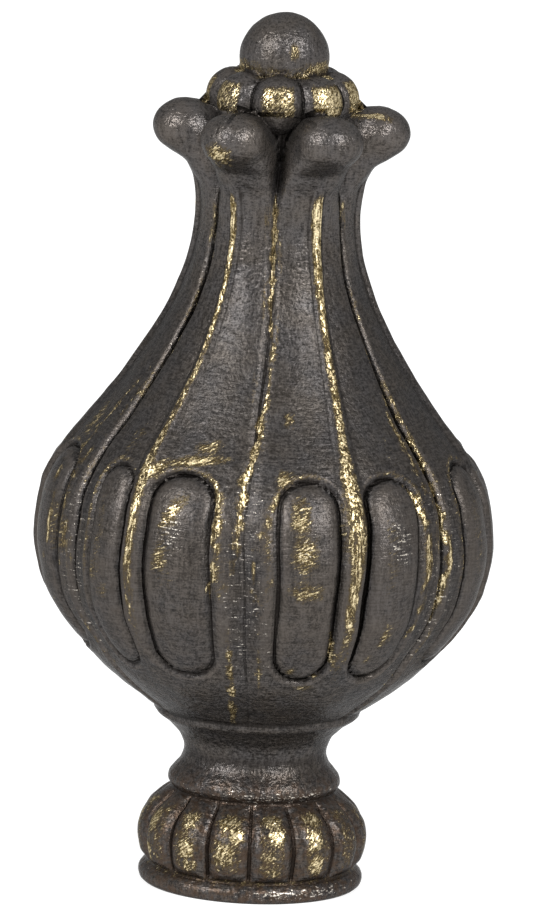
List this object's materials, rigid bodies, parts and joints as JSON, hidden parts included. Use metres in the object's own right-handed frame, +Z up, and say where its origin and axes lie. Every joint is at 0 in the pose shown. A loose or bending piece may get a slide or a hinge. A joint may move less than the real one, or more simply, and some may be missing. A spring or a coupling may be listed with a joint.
{
  "type": "cast decorative finial",
  "caption": "Onion-shaped bud of ribbed petals with carved ovals, under a lobed collar and a ball, on a narrow waist and a gadrooned foot.",
  "frame": {"origin": "centre of the underside, where the finial stands", "axes": "+Z up the turned axis to the ball, -Y to the front as pictured, +X to the front's right"},
  "size_m": [0.0392, 0.0383, 0.076],
  "materials": {
    "dark_bronze": "satin bronze-black paint with dry-brushed gold on the raised carving"
  },
  "bodies": {
    "root": {"finial": "dark_bronze"}
  },
  "joints": []
}
